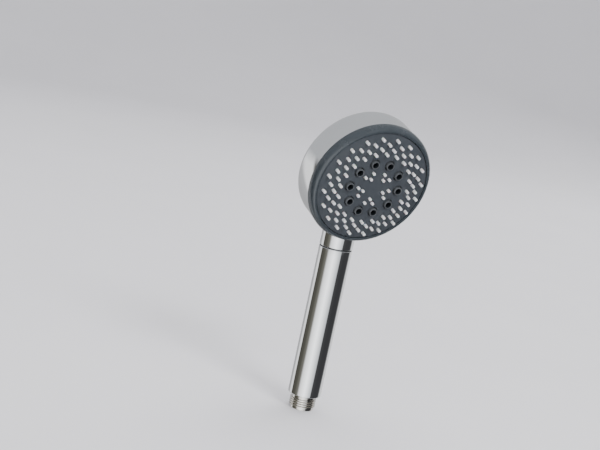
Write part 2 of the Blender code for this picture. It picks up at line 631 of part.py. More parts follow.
def pivot_parts(spray):
    """Screw, washer and bush that the spray face turns on."""
    recess_floor = BODY_TOP - HUB_RECESS
    washer_low = recess_floor + GAP
    washer_high = washer_low + WASHER_THICKNESS
    head_low = washer_high + GAP
    bore = PIVOT_RADIUS + GAP
    end = PIVOT_END + PIVOT_FLOOR + GAP
    turned("pivot_screw", [(0, end), (PIVOT_RADIUS, end), (PIVOT_RADIUS, head_low),
                           (PIVOT_HEAD_RADIUS, head_low), (PIVOT_HEAD_RADIUS, head_low + PIVOT_HEAD_HEIGHT),
                           (0, head_low + PIVOT_HEAD_HEIGHT)], steel(), spray, SMALL_STEPS)
    turned("pivot_washer", [(bore, washer_low), (HUB_RADIUS - RUNNING, washer_low),
                            (HUB_RADIUS - RUNNING, washer_high), (bore, washer_high)],
           steel(), spray, SMALL_STEPS)
    turned("pivot_bush", [(bore, PORT_PLATE_FRONT + GAP), (bore + BUSH_WALL, PORT_PLATE_FRONT + GAP),
                          (bore + BUSH_WALL, recess_floor), (bore, recess_floor)],
           brass(), spray, SMALL_STEPS)


def glide_ring(spray):
    """Plain bearing ring in the drum's mouth, round the spray body's rim."""
    inner, outer = PLATE_RADIUS + RUNNING, DRUM_RADIUS - DRUM_WALL - GAP
    low, high = RIM_BACK - GLIDE_DROP, BEZEL_BACK - GAP
    turned("glide_ring", [(inner, low), (outer, low), (outer, high), (inner, high)], acetal(), spray)


# ---------------------------------------------------------------- detent

def detent_tip():
    return BODY_BACK - GAP


def detent_pin_back():
    return detent_tip() - NOSE_RADIUS - PIN_LENGTH


def detent(pin_frame):
    """Sprung pin that clicks into the spray body's dimples, and its spring."""
    tip, back = detent_tip(), detent_pin_back()
    shoulder = tip - NOSE_RADIUS
    nose = [(NOSE_RADIUS * cos(radians(a)), shoulder + NOSE_RADIUS * sin(radians(a))) for a in (0, 30, 60)]
    turned("detent_pin", [(0, back), (PIN_RADIUS, back), (PIN_RADIUS, shoulder)] + nose + [(0, tip)],
           steel(), pin_frame, 12)
    coil = bpy.data.curves.new("detent_spring", "CURVE")
    coil.dimensions = "3D"
    coil.bevel_depth = SPRING_WIRE
    coil.bevel_resolution = 0
    coil.use_fill_caps = True
    path = coil.splines.new("POLY")
    steps = 10 * SPRING_TURNS
    path.points.add(steps)
    low = back - GAP - SPRING_LENGTH + SPRING_WIRE
    reach = PIN_RADIUS - SPRING_WIRE - GAP
    for i in range(steps + 1):
        angle = 2 * pi * i / 10
        height = low + (SPRING_LENGTH - 2 * SPRING_WIRE) * i / steps
        path.points[i].co = (reach * cos(angle), reach * sin(angle), height, 1)
    coil.materials.append(steel())
    spring = bpy.data.objects.new("detent_spring", coil)
    bpy.context.scene.collection.objects.link(spring)
    spring.parent = pin_frame


# ---------------------------------------------------------------- spray face

def nozzle_places():
    """Outer nozzles: ring by ring, every other ring in line with the jets."""
    places = []
    for ring, radius in enumerate(NOZZLE_RINGS):
        offset = 0 if ring % 2 else pi / NOZZLES_PER_RING
        for i in range(NOZZLES_PER_RING):
            places.append((radius, PATTERN_TURN + offset + 2 * pi * i / NOZZLES_PER_RING))
    return places


def jet_places():
    return [(JET_RING_RADIUS, PATTERN_TURN + 2 * pi * i / JET_COUNT) for i in range(JET_COUNT)]


def triplet_places():
    """Inner nozzles: threes whose point lies midway between two jets."""
    places = []
    for i in range(TRIPLET_COUNT):
        middle = PATTERN_TURN + 3 * pi / JET_COUNT + 2 * pi * i / TRIPLET_COUNT
        places.append((TRIPLET_INNER_RADIUS, middle))
        for side in (-1, 1):
            places.append((TRIPLET_OUTER_RADIUS, middle + side * TRIPLET_SPREAD))
    return places


def plate_height(radius):
    """Front surface of the face plate: flat in the middle, falling to the rim."""
    if radius < FLAT_RADIUS:
        return PLATE_RISE
    share = (radius - FLAT_RADIUS) / (PLATE_RADIUS - FLAT_RADIUS)
    return PLATE_RISE + (PLATE_RIM_RISE - PLATE_RISE) * share


def face_plate(face):
    """Plate with a hole for every nozzle and jet."""
    turn = PATTERN_TURN + pi / FACE_STEPS
    plate = turned("face_plate", [(0, PLATE_BACK), (PLATE_RADIUS, PLATE_BACK), (PLATE_RADIUS, PLATE_RIM_RISE),
                                  (FLAT_RADIUS, PLATE_RISE), (0, PLATE_RISE)],
                   slate(), face, FACE_STEPS, turn)
    clear = GAP / cos(pi / 6)
    bm = bmesh.new()
    for radius, angle in nozzle_places() + triplet_places():
        add_post(bm, NOZZLE_ROOT_RADIUS + clear, PLATE_BACK - OVERSHOOT, PLATE_RISE + OVERSHOOT,
                 polar(radius, angle), steps=6, turn=angle)
    for radius, angle in jet_places():
        add_post(bm, JET_WELL_RADIUS, PLATE_BACK - OVERSHOOT, PLATE_RISE + OVERSHOOT, polar(radius, angle), steps=10)
    cut(plate, bm, face)


def nozzle_mat(name, inner, outer, places, proud, face):
    """Silicone mat whose nozzles stand through the plate."""
    mat = turned(name, [(inner, MAT_BACK), (outer, MAT_BACK), (outer, MAT_TOP), (inner, MAT_TOP)],
                 silicone(), face, FACE_STEPS, PATTERN_TURN + pi / FACE_STEPS)
    bm = bmesh.new()
    for radius, angle in places:
        add_post(bm, NOZZLE_ROOT_RADIUS, MAT_TOP - MAT_THICKNESS / 2, plate_height(radius) + proud,
                 polar(radius, angle), steps=6, tip_radius=NOZZLE_TIP_RADIUS, turn=angle)
    join(mat, bm, face)


def jet_nozzles(face):
    """Raised massage jets, one piece each."""
    high = PLATE_RISE + JET_PROUD
    profile = [(JET_BORE_RADIUS, MAT_BACK), (JET_FLANGE_RADIUS, MAT_BACK), (JET_FLANGE_RADIUS, MAT_TOP),
               (JET_RADIUS, MAT_TOP), (JET_RADIUS, high - JET_SOFT), (JET_RADIUS - JET_SOFT, high),
               (JET_BORE_RADIUS, high)]
    for i, (radius, angle) in enumerate(jet_places(), 1):
        jet = turned(f"jet_nozzle_{i:02d}", profile, jet_grey(), face, 10)
        jet.location = (*polar(radius, angle), 0)


def bezel_ring(face):
    """Rounded ring round the face."""
    inner = FACE_RADIUS - BEZEL_WIDTH
    round_in = BEZEL_WIDTH - BEZEL_FLAT
    outline = [(FACE_RADIUS, BEZEL_BACK)]
    for i in range(5):
        angle = radians(22.5 * i)
        outline.append((FACE_RADIUS - round_in + round_in * cos(angle), BEZEL_RISE * sin(angle)))
    outline += [(inner, BEZEL_RISE), (inner, BEZEL_BACK)]
    turned("bezel_ring", outline, slate(), face)


def spray_body(face):
    """Turning disc with a ring chamber for each of the three patterns."""
    hub_bore = PIVOT_RADIUS + GAP + BUSH_WALL + GAP
    walls = [HUB_RADIUS, HUB_RADIUS + CHAMBER_WALL, JET_CHAMBER_INNER - CHAMBER_WALL, JET_CHAMBER_INNER,
             JET_CHAMBER_OUTER, JET_CHAMBER_OUTER + CHAMBER_WALL]
    outline = [(hub_bore, BODY_BACK), (hub_bore, BODY_TOP - HUB_RECESS), (walls[0], BODY_TOP - HUB_RECESS),
               (walls[0], BODY_TOP), (walls[1], BODY_TOP), (walls[1], BODY_FLOOR), (walls[2], BODY_FLOOR),
               (walls[2], BODY_TOP), (walls[3], BODY_TOP), (walls[3], BODY_FLOOR), (walls[4], BODY_FLOOR),
               (walls[4], BODY_TOP), (walls[5], BODY_TOP), (walls[5], BODY_FLOOR),
               (CHAMBER_RADIUS - CHAMBER_WALL, BODY_FLOOR), (CHAMBER_RADIUS - CHAMBER_WALL, RIM_FLOOR),
               (PLATE_RADIUS - RIM_WALL, RIM_FLOOR), (PLATE_RADIUS - RIM_WALL, BODY_TOP),
               (PLATE_RADIUS, BODY_TOP), (PLATE_RADIUS, RIM_BACK), (CHAMBER_RADIUS, RIM_BACK),
               (CHAMBER_RADIUS, BODY_BACK)]
    body = turned("spray_body", outline, black_acetal(), face, CHAMBER_STEPS)
    bm = bmesh.new()
    lug_inner, lug_outer = CHAMBER_RADIUS + LUG_CLEARANCE, PLATE_RADIUS - LUG_INSET
    add_block(bm, (lug_outer - lug_inner, LUG_WIDTH, LUG_DEPTH),
              ((lug_inner + lug_outer) / 2, 0, RIM_BACK + LUG_OVERLAP - LUG_DEPTH / 2), radians(90))
    join(body, bm, face)
    bm = bmesh.new()
    for step, radius in zip((-1, 0, 1), PORT_RINGS):
        add_post(bm, PORT_RADIUS, BODY_BACK - OVERSHOOT, BODY_FLOOR + OVERSHOOT,
                 polar(radius, PORT_TURN + step * PORT_STEP), steps=12)
    for step in (-1, 0, 1):
        add_post(bm, 2 * NOSE_RADIUS, BODY_BACK - NOSE_RADIUS, BODY_BACK + NOSE_RADIUS / 2,
                 polar(DETENT_RING, DETENT_TURN + step * PORT_STEP), steps=8, tip_radius=NOSE_RADIUS / 2)
    cut(body, bm, face)


def massage_rotor(face):
    """Vaned ring that runs round the jets' chamber and shuts half of them."""
    inner, outer = JET_CHAMBER_INNER + RUNNING, JET_CHAMBER_OUTER - RUNNING
    low = BODY_FLOOR + GAP
    high = low + ROTOR_THICKNESS
    rotor = turned("massage_rotor", [(inner, low), (outer, low), (outer, high), (inner, high)],
                   black_acetal(), face, CHAMBER_STEPS)
    bm = bmesh.new()
    width = outer - inner - 2 * VANE_INSET
    for i in range(VANE_COUNT):
        add_block(bm, (width, VANE_WIDTH, VANE_HEIGHT), ((inner + outer) / 2, 0, high + VANE_HEIGHT / 2 - GAP),
                  2 * pi * (i + 0.5) / VANE_COUNT)
    join(rotor, bm, face)
    bm = bmesh.new()
    for i in range(VANE_COUNT // 2 - 1):
        add_post(bm, ROTOR_HOLE_RADIUS, low - OVERSHOOT, high + OVERSHOOT,
                 polar(JET_RING_RADIUS, 2 * pi * (i + 1) / VANE_COUNT), steps=8)
    cut(rotor, bm, face)


# ---------------------------------------------------------------- assembly

def empty(name, location, turn, parent=None):
    """Empty that places the pieces of one frame."""
    frame = bpy.data.objects.new(name, None)
    bpy.context.scene.collection.objects.link(frame)
    frame.location = location
    frame.rotation_euler = (turn, 0, 0)
    frame.parent = parent
    return frame


def build():
    for old in list(bpy.data.objects):
        bpy.data.objects.remove(old, do_unlink=True)
    handle = empty("handle_frame", (0, 0, 0), 0)
    tube = empty("tube_frame", (0, -TUBE_SET_FORWARD, 0), 0)
    spray = empty("spray_frame", FACE_CENTRE, pi / 2 + HEAD_LEAN)
    pin_frame = empty("detent_frame", (*polar(DETENT_RING, DETENT_TURN), 0), 0, spray)
    bpy.context.view_layer.update()

    handle_shell(handle)
    inlet_spigot(handle, tube)
    inlet_fittings(handle)
    water_way(tube)
    seam_gasket(handle)
    head_shell(handle, tube, spray)
    inlet_chamber(tube, spray)
    port_plate(spray)
    port_seal(spray)
    chamber_screws(spray)
    chamber_o_ring(spray)
    pivot_parts(spray)
    glide_ring(spray)
    detent(pin_frame)
    spray_body(spray)
    massage_rotor(spray)
    nozzle_mat("nozzle_mat_outer", MAT_INNER_RADIUS, PLATE_RADIUS - MAT_EDGE, nozzle_places(), NOZZLE_PROUD, spray)
    nozzle_mat("nozzle_mat_inner", HUB_RADIUS + MAT_HUB_ROOM, JET_RING_RADIUS - JET_FLANGE_RADIUS - RUNNING,
               triplet_places(), TRIPLET_PROUD, spray)
    jet_nozzles(spray)
    face_plate(spray)
    bezel_ring(spray)


build()
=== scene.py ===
"""Looks of the handheld shower head: its chrome, dark spray face and soft nozzles.

Sizes are in metres, written as millimetres times MM. Pieces of the head are
modelled round +Z, the way the water leaves, with z = 0 at the bezel's widest
circle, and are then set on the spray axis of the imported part. Pieces of the
handle are modelled where they stand.
"""

import json
import logging
from dataclasses import dataclass, field
from enum import Enum
from math import asin, cos, pi, radians, sin, tan, tau

import bpy
from mathutils import Euler, Matrix, Vector


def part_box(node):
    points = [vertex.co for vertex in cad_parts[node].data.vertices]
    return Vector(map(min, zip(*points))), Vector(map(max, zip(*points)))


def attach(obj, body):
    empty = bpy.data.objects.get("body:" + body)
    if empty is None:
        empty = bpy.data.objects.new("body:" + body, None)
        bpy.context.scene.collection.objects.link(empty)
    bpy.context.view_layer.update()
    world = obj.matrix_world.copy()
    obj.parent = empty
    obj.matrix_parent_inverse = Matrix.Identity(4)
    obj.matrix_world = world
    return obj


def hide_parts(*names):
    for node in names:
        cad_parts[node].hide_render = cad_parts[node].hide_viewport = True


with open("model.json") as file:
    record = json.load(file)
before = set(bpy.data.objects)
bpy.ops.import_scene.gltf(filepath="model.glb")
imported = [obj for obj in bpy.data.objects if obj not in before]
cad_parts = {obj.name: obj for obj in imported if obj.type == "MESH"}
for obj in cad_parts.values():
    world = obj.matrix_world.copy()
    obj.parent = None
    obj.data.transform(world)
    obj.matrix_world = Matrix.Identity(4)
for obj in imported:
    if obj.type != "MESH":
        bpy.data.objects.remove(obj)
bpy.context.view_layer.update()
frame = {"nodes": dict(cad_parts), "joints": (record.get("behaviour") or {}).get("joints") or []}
LOG = logging.getLogger("shower_head")

MM = 0.001
MERGE = 2e-6     # points closer than this are one point
Profile = list[tuple[float, float]]


# ---------------------------------------------------------------- frame

class Body(Enum):
    """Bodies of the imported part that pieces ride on."""

    HANDSET = "handset"
    SPRAY_FACE = "spray_face"


class Slot(Enum):
    """Material slots of the record."""

    CHROME_TUBE = "chrome_tube"
    CHROME_CASTING = "chrome_casting"
    PLATED_BRASS = "plated_brass"
    SLATE = "slate_plastic"
    JET = "jet_plastic"
    SILICONE = "silicone"


def joint_record(name: str) -> dict:
    """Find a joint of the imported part.

    Args:
        name: the joint's name.

    Returns:
        The joint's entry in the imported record.
    """
    return next(joint for joint in frame["joints"] if joint["name"] == name)


def spray_matrix() -> Matrix:
    """Place of the head's own frame, from the joint that the spray face turns on.

    Returns:
        The matrix that takes a piece modelled round +Z to the spray axis.
    """
    turn = joint_record("spray_face_turn")
    axis = Vector(turn["axis"]).normalized()
    side = Vector((1, 0, 0))
    up = axis.cross(side)
    rotation = Matrix((side, up, axis)).transposed().to_4x4()
    return Matrix.Translation(Vector(turn["pos_m"])) @ rotation


SPRAY_PLACE = spray_matrix()
UPRIGHT = Matrix.Identity(4)


# ---------------------------------------------------------------- shaping

def start_clean() -> None:
    """Leave edit mode and let go of every object."""
    if bpy.context.object and bpy.context.object.mode != "OBJECT":
        bpy.ops.object.mode_set(mode="OBJECT")
    bpy.ops.object.select_all(action="DESELECT")


def pick(*objects: bpy.types.Object) -> None:
    """Select these objects only, the last one active.

    Args:
        objects: the objects to select.
    """
    start_clean()
    for piece in objects:
        piece.select_set(True)
    bpy.context.view_layer.objects.active = objects[-1]


def lathe(name: str, profile: Profile, steps: int, closed: bool = True) -> bpy.types.Object:
    """Draw a circle out along a profile, ring by ring, as on a lathe.

    Args:
        name: the new object's name.
        profile: (radius, height) of each ring. A radius of 0 may only end it.
        steps: facets round the axis.
        closed: join the last ring to the first, for a ring-shaped piece.

    Returns:
        The turned object, with its normals pointing outwards.
    """
    start_clean()
    radius, height = profile[0]
    bpy.ops.mesh.primitive_circle_add(vertices=steps, radius=radius, fill_type="NOTHING",
                                      location=(0, 0, height))
    piece = bpy.context.object
    piece.name = piece.data.name = name
    bpy.ops.object.transform_apply(location=True, rotation=True, scale=True)
    bpy.ops.object.mode_set(mode="EDIT")
    bpy.ops.mesh.select_all(action="SELECT")
    if not closed:
        bpy.ops.mesh.extrude_region_move(TRANSFORM_OT_translate={"value": (0, 0, 0)})
        bpy.ops.mesh.merge(type="CENTER")
        bpy.ops.mesh.select_all(action="DESELECT")
        bpy.ops.mesh.select_non_manifold()
    for next_radius, next_height in profile[1:]:
        bpy.ops.mesh.extrude_region_move(
            TRANSFORM_OT_translate={"value": (0, 0, next_height - height)})
        if next_radius == 0:
            bpy.ops.mesh.merge(type="CENTER")
            break
        share = next_radius / radius
        bpy.ops.transform.resize(value=(share, share, 1), center_override=(0, 0, next_height))
        radius, height = next_radius, next_height
    if closed:
        first_radius, first_height = profile[0]
        bpy.ops.mesh.extrude_region_move(
            TRANSFORM_OT_translate={"value": (0, 0, first_height - height)})
        share = first_radius / radius
        bpy.ops.transform.resize(value=(share, share, 1), center_override=(0, 0, first_height))
    bpy.ops.mesh.select_all(action="SELECT")
    bpy.ops.mesh.remove_doubles(threshold=MERGE)
    bpy.ops.mesh.normals_make_consistent(inside=False)
    bpy.ops.object.mode_set(mode="OBJECT")
    return piece


def arc(centre: tuple[float, float], reach: tuple[float, float], start: float, end: float,
        steps: int) -> Profile:
    """Points of an elliptic arc in a profile.

    Args:
        centre: (radius, height) of the arc's middle.
        reach: the arc's half sizes along radius and height.
        start: first angle, in degrees from the outward direction.
        end: last angle, in degrees.
        steps: number of stretches.

    Returns:
        The points, with both ends.
    """
    angles = [radians(start + (end - start) * i / steps) for i in range(steps + 1)]
    return [(centre[0] + reach[0] * cos(a), centre[1] + reach[1] * sin(a)) for a in angles]


def round_corners(corners: Profile, soft: float, steps: int = 3) -> Profile:
    """Soften every corner of a closed profile.

    Args:
        corners: the profile's corners.
        soft: how far each rounding reaches along its sides.
        steps: stretches in each rounding.

    Returns:
        The softened profile.
    """
    made: Profile = []
    count = len(corners)
    for i, corner in enumerate(corners):
        here = Vector(corner)
        back = Vector(corners[i - 1]) - here
        on = Vector(corners[(i + 1) % count]) - here
        reach = min(soft, back.length / 2.5, on.length / 2.5)
        first, last = here + back.normalized() * reach, here + on.normalized() * reach
        for step in range(steps + 1):
            share = step / steps
            point = first * (1 - share) ** 2 + here * 2 * share * (1 - share) + last * share ** 2
            made.append((point.x, point.y))
    return made


def modify(piece: bpy.types.Object, kind: str, **settings: object) -> None:
    """Add a modifier and apply it.

    Args:
        piece: the object to change.
        kind: the modifier's type.
        **settings: the modifier's own settings.
    """
    pick(piece)
    modifier = piece.modifiers.new(kind.title(), kind)
    for key, value in settings.items():
        setattr(modifier, key, value)
    bpy.ops.object.modifier_apply(modifier=modifier.name)


def combine(piece: bpy.types.Object, tool: bpy.types.Object, operation: str) -> None:
    """Join a tool shape to a piece or cut it away, and throw the tool away.

    Args:
        piece: the object that stays.
        tool: the other shape.
        operation: UNION, DIFFERENCE or INTERSECT.
    """
    modify(piece, "BOOLEAN", operation=operation, object=tool, solver="EXACT")
    bpy.data.objects.remove(tool, do_unlink=True)


def copies(pattern: bpy.types.Object, places: list[Vector], name: str) -> bpy.types.Object:
    """Copy a shape to many places and join the copies into one object.

    Args:
        pattern: the shape, standing at the origin. It is used up.
        places: where each copy's origin goes.
        name: the joined object's name.

    Returns:
        The joined object.
    """
    made = []
    for place in places:
        pick(pattern)
        bpy.ops.object.duplicate(linked=False)
        copy = bpy.context.object
        copy.location = place
        made.append(copy)
    bpy.data.objects.remove(pattern, do_unlink=True)
    pick(*made)
    bpy.ops.object.transform_apply(location=True, rotation=True, scale=True)
    bpy.ops.object.join()
    joined = bpy.context.object
    joined.name = joined.data.name = name
    return joined


def set_down(piece: bpy.types.Object, place: Matrix, sharp: float = 35.0) -> None:
    """Put a finished mesh in its place, smooth it and leave its object at the origin.

    Args:
        piece: the object, still in its modelling frame.
        place: where that frame belongs.
        sharp: edges turned by more than this many degrees stay sharp.
    """
    pick(piece)
    piece.matrix_world = place
    bpy.ops.object.transform_apply(location=True, rotation=True, scale=True)
    bpy.ops.object.shade_smooth_by_angle(angle=radians(sharp))


def fit_out(piece: bpy.types.Object, body: Body, slot: Slot, material: bpy.types.Material,
            *nodes: str) -> None:
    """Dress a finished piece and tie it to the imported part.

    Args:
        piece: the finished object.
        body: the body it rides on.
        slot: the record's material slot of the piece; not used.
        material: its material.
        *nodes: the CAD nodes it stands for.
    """
    piece.data.materials.clear()
    piece.data.materials.append(material)
    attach(piece, body.value)
    if nodes:
        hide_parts(*nodes)
    LOG.info("%s: %d faces", piece.name, len(piece.data.polygons))


# ---------------------------------------------------------------- finishes

def socket(tree: bpy.types.NodeTree, name: str, way: str, kind: str,
           value: float | None = None) -> None:
    """Add a named socket to a node group.

    Args:
        tree: the node group.
        name: the socket's name.
        way: INPUT or OUTPUT.
        kind: the socket's type.
        value: what an unlinked input holds.
    """
    made = tree.interface.new_socket(name=name, in_out=way, socket_type=kind)
    if value is not None:
        made.default_value = value


class NodeBench:
    """Adds nodes to one tree and wires them up."""

    def __init__(self, tree: bpy.types.NodeTree) -> None:
        """Remember the tree to work on."""
        self.tree = tree

    def add(self, kind: str, **inputs: object) -> bpy.types.Node:
        """Add a node.

        Args:
            kind: the node's type.
            **inputs: values or sockets for its inputs, with _ for a space.

        Returns:
            The new node.
        """
        node = self.tree.nodes.new(kind)
        for key, value in inputs.items():
            self.feed(node.inputs[key.replace("_", " ")], value)
        return node

    def feed(self, target: bpy.types.NodeSocket, value: object) -> None:
        """Link a socket to an input, or set the input's value.

        Args:
            target: the input.
            value: a socket to link, or a plain value to set.
        """
        if isinstance(value, bpy.types.NodeSocket):
            self.tree.links.new(value, target)
        else:
            target.default_value = value

    def mix(self, share: object, low: object, high: object) -> bpy.types.NodeSocket:
        """Blend two numbers.

        Args:
            share: 0 for the first number, 1 for the second.
            low: the first number.
            high: the second number.

        Returns:
            The socket with the blend.
        """
        node = self.tree.nodes.new("ShaderNodeMix")
        node.data_type = "FLOAT"
        for index, value in ((0, share), (2, low), (3, high)):
            self.feed(node.inputs[index], value)
        return node.outputs[0]

    def tint(self, share: object, low: object, high: object) -> bpy.types.NodeSocket:
        """Blend two colours.

        Args:
            share: 0 for the first colour, 1 for the second.
            low: the first colour.
            high: the second colour.

        Returns:
            The socket with the blend.
        """
        node = self.tree.nodes.new("ShaderNodeMix")
        node.data_type = "RGBA"
        for index, value in ((0, share), (6, low), (7, high)):
            self.feed(node.inputs[index], value)
        return node.outputs[2]

    def math(self, operation: str, first: object, second: object = 0.0) -> bpy.types.NodeSocket:
        """Do one sum.

        Args:
            operation: the Math node's operation.
            first: its first number.
            second: its second number.

        Returns:
            The socket with the result.
        """
        node = self.tree.nodes.new("ShaderNodeMath")
        node.operation = operation
        self.feed(node.inputs[0], first)
        self.feed(node.inputs[1], second)
        return node.outputs[0]


def smear_group() -> bpy.types.NodeTree:
    """Soft cloudy smears and dried droplets, as on any handled bathroom fitting.

    Returns:
        The node group, built once.
    """
    tree = bpy.data.node_groups.get("smears")
    if tree:
        return tree
    tree = bpy.data.node_groups.new("smears", "ShaderNodeTree")
    socket(tree, "Vector", "INPUT", "NodeSocketVector")
    socket(tree, "Smear Size", "INPUT", "NodeSocketFloat", 60.0)
    socket(tree, "Spot Size", "INPUT", "NodeSocketFloat", 420.0)
    socket(tree, "Smears", "OUTPUT", "NodeSocketFloat")
    socket(tree, "Spots", "OUTPUT", "NodeSocketFloat")
    bench = NodeBench(tree)
    given = bench.add("NodeGroupInput")
    cloud = bench.add("ShaderNodeTexNoise", Vector=given.outputs["Vector"],
                      Scale=given.outputs["Smear Size"], Detail=4.0, Roughness=0.55)
    band = bench.add("ShaderNodeMapRange", Value=cloud.outputs[0])
    band.inputs["From Min"].default_value = 0.45
    band.inputs["From Max"].default_value = 0.75
    drop = bench.add("ShaderNodeTexVoronoi", Vector=given.outputs["Vector"],
                     Scale=given.outputs["Spot Size"])
    edge = bench.add("ShaderNodeMapRange", Value=drop.outputs["Distance"])
    edge.inputs["From Min"].default_value = 0.10
    edge.inputs["From Max"].default_value = 0.16
    edge.inputs["To Min"].default_value = 1.0
    edge.inputs["To Max"].default_value = 0.0
    sparse = bench.math("GREATER_THAN", cloud.outputs[0], 0.62)
    out = tree.nodes.new("NodeGroupOutput")
    bench.feed(out.inputs["Smears"], band.outputs[0])
    bench.feed(out.inputs["Spots"], bench.math("MULTIPLY", edge.outputs[0], sparse))
    return tree


def grain_group() -> bpy.types.NodeTree:
    """Fine even grain of a moulded or machined surface.

    Returns:
        The node group, built once.
    """
    tree = bpy.data.node_groups.get("grain")
    if tree:
        return tree
    tree = bpy.data.node_groups.new("grain", "ShaderNodeTree")
    socket(tree, "Vector", "INPUT", "NodeSocketVector")
    socket(tree, "Scale", "INPUT", "NodeSocketFloat", 2500.0)
    socket(tree, "Strength", "INPUT", "NodeSocketFloat", 0.2)
    socket(tree, "Depth", "INPUT", "NodeSocketFloat", 0.00002)
    socket(tree, "Grain", "OUTPUT", "NodeSocketFloat")
    socket(tree, "Normal", "OUTPUT", "NodeSocketVector")
    bench = NodeBench(tree)
    given = bench.add("NodeGroupInput")
    fine = bench.add("ShaderNodeTexNoise", Vector=given.outputs["Vector"],
                     Scale=given.outputs["Scale"], Detail=2.0, Roughness=0.6)
    bump = bench.add("ShaderNodeBump", Strength=given.outputs["Strength"],
                     Distance=given.outputs["Depth"], Height=fine.outputs[0])
    out = tree.nodes.new("NodeGroupOutput")
    bench.feed(out.inputs["Grain"], fine.outputs[0])
    bench.feed(out.inputs["Normal"], bump.outputs[0])
    return tree


@dataclass(frozen=True)
class Finish:
    """One material: a colour that clouds a little, and a roughness that smears."""

    name: str
    colour: tuple[float, float, float]
    clouded: tuple[float, float, float]
    roughness: float
    smeared: float
    metallic: float = 0.0
    coat: float = 0.0
    specular: float = 0.5
    subsurface: float = 0.0
    grain_scale: float = 2500.0
    grain_strength: float = 0.15
    smear_size: float = 60.0
    spot_size: float = 420.0
    spotted: float = 0.02

    def material(self) -> bpy.types.Material:
        """Build the material, once.

        Returns:
            The procedural material of this finish.
        """
        made = bpy.data.materials.get(self.name)
        if made:
            return made
        made = bpy.data.materials.new(self.name)
        made.use_nodes = True
        bench = NodeBench(made.node_tree)
        shader = made.node_tree.nodes["Principled BSDF"]
        where = bench.add("ShaderNodeTexCoord").outputs["Object"]
        smears = bench.add("ShaderNodeGroup")
        smears.node_tree = smear_group()
        bench.feed(smears.inputs["Vector"], where)
        bench.feed(smears.inputs["Smear Size"], self.smear_size)
        bench.feed(smears.inputs["Spot Size"], self.spot_size)
        grain = bench.add("ShaderNodeGroup")
        grain.node_tree = grain_group()
        bench.feed(grain.inputs["Vector"], where)
        bench.feed(grain.inputs["Scale"], self.grain_scale)
        bench.feed(grain.inputs["Strength"], self.grain_strength)
        mottled = bench.math("MULTIPLY", bench.math("ADD", smears.outputs["Smears"],
                                                    grain.outputs["Grain"]), 0.5)
        bench.feed(shader.inputs["Base Color"],
                   bench.tint(mottled, (*self.colour, 1), (*self.clouded, 1)))
        rough = bench.mix(smears.outputs["Smears"], self.roughness, self.smeared)
        spots = bench.math("MULTIPLY", smears.outputs["Spots"], self.spotted)
        bench.feed(shader.inputs["Roughness"], bench.math("ADD", rough, spots))
        bench.feed(shader.inputs["Normal"], grain.outputs["Normal"])
        shader.inputs["Metallic"].default_value = self.metallic
        shader.inputs["Coat Weight"].default_value = self.coat
        shader.inputs["Specular IOR Level"].default_value = self.specular
        shader.inputs["Subsurface Weight"].default_value = self.subsurface
        shader.inputs["Subsurface Scale"].default_value = MM
        return made


CHROME = Finish("polished_chrome", (0.86, 0.87, 0.88), (0.82, 0.83, 0.845), 0.035, 0.075,
                metallic=1.0, grain_scale=900.0, grain_strength=0.02, spotted=0.06)
CAST_CHROME = Finish("cast_chrome", (0.86, 0.87, 0.88), (0.81, 0.82, 0.84), 0.04, 0.09,
                     metallic=1.0, grain_scale=600.0, grain_strength=0.03, spotted=0.06)
NICKEL = Finish("nickel_plate", (0.78, 0.76, 0.72), (0.66, 0.64, 0.60), 0.12, 0.24, metallic=1.0,
                grain_strength=0.08)
SLATE = Finish("slate_moulding", (0.036, 0.042, 0.049), (0.047, 0.053, 0.060), 0.36, 0.44,
               specular=0.35, grain_strength=0.25, grain_scale=3200.0, spotted=0.1)
SLATE_GLOSS = Finish("slate_bezel", (0.026, 0.033, 0.039), (0.036, 0.043, 0.049), 0.24, 0.32,
                     specular=0.5, grain_strength=0.14, grain_scale=3200.0, spotted=0.1)
JET_GREY = Finish("jet_moulding", (0.052, 0.057, 0.062), (0.070, 0.075, 0.080), 0.36, 0.45,
                  grain_strength=0.2)
# Near-black finish for the faces round each jet's bore: painted shade, where the inside of the bore
# lies in shadow.
JET_BORE_SHADE = Finish("jet_bore", (0.006, 0.008, 0.010), (0.010, 0.012, 0.014), 0.6, 0.7, specular=0.1,
                  grain_strength=0.1)
SILICONE = Finish("nozzle_silicone", (0.74, 0.75, 0.75), (0.66, 0.67, 0.67), 0.48, 0.58,
                  subsurface=0.08, grain_strength=0.2)
ACETAL = Finish("acetal", (0.78, 0.77, 0.72), (0.72, 0.71, 0.66), 0.4, 0.5)
BLACK_ACETAL = Finish("black_acetal", (0.028, 0.028, 0.031), (0.040, 0.040, 0.043), 0.45, 0.55)
RUBBER = Finish("sealing_rubber", (0.020, 0.020, 0.022), (0.035, 0.035, 0.037), 0.6, 0.75,
                grain_strength=0.3)
BRASS = Finish("bush_brass", (0.74, 0.56, 0.28), (0.62, 0.45, 0.22), 0.22, 0.36, metallic=1.0)
STEEL = Finish("stainless_steel", (0.62, 0.62, 0.60), (0.52, 0.52, 0.50), 0.24, 0.38, metallic=1.0,
               grain_strength=0.3)
NODE_FINISHES = {
    STEEL: ("inlet_filter", "chamber_screw_1", "chamber_screw_2", "chamber_screw_3",
            "pivot_screw", "pivot_washer", "detent_pin", "detent_spring"),
    BRASS: ("pivot_bush",),
    RUBBER: ("spigot_o_ring", "spigot_tube_o_ring", "coupler_o_ring_upper",
             "coupler_o_ring_lower", "seam_gasket", "port_seal", "chamber_o_ring"),
    ACETAL: ("flow_limiter", "water_tube", "tube_coupler", "inlet_chamber", "port_plate",
             "glide_ring"),
    BLACK_ACETAL: ("spray_body", "massage_rotor"),
}


# ---------------------------------------------------------------- handle

